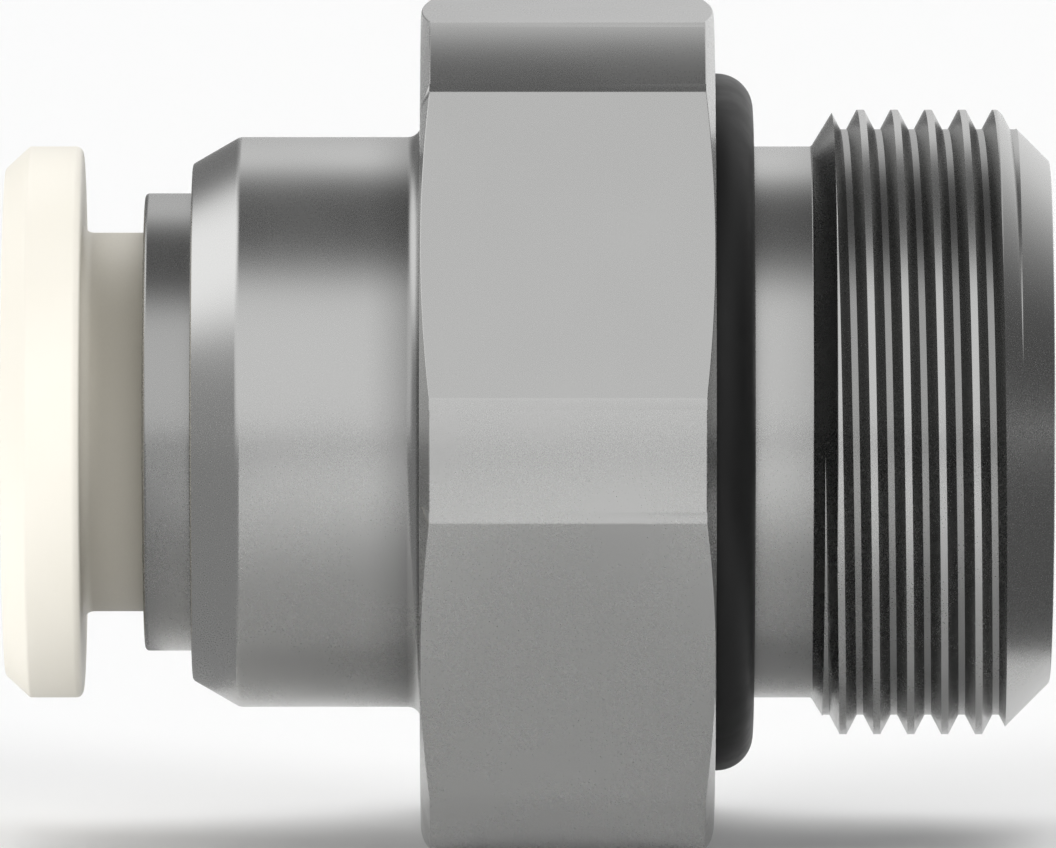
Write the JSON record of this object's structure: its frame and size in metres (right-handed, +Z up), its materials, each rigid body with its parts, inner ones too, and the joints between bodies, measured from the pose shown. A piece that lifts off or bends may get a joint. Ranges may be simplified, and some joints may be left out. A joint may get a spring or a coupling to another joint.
{
  "type": "push-in fitting",
  "caption": "Straight push-in fitting with a hexagon body, male parallel thread with face O-ring, and a release ring for 8 mm tube.",
  "frame": {"origin": "centre of the thread axis on the hexagon's sealing face", "axes": "+X along the axis, the way the thread screws in; -X the way the tube leaves; +Z up with the part lying on a flat of its hexagon"},
  "size_m": [0.0278, 0.0238, 0.022],
  "materials": {
    "nickel_plated_brass": "satin nickel plate on turned and milled brass",
    "black_nbr": "moulded, satin",
    "cream_pom": "moulded, satin",
    "stainless_spring": "bright rolled strip"
  },
  "bodies": {
    "housing": {"fitting_body": "nickel_plated_brass", "face_seal": "black_nbr", "guide_sleeve": "nickel_plated_brass", "tube_seal": "black_nbr"},
    "grip": {"lock_claws": "stainless_spring", "claw_seat": "cream_pom"},
    "button": {"release_button": "cream_pom"}
  },
  "joints": [
    {"name": "tube_swivel", "type": "hinge", "parent": "housing", "child": "grip", "pos_m": [-0.008, 0, 0], "axis": [1, 0, 0], "continuous": true},
    {"name": "button_press", "type": "slide", "parent": "grip", "child": "button", "axis": [1, 0, 0], "range_m": [0, 0.0015], "stiffness_N_per_m": 1000, "deforming": ["lock_claws"]}
  ]
}
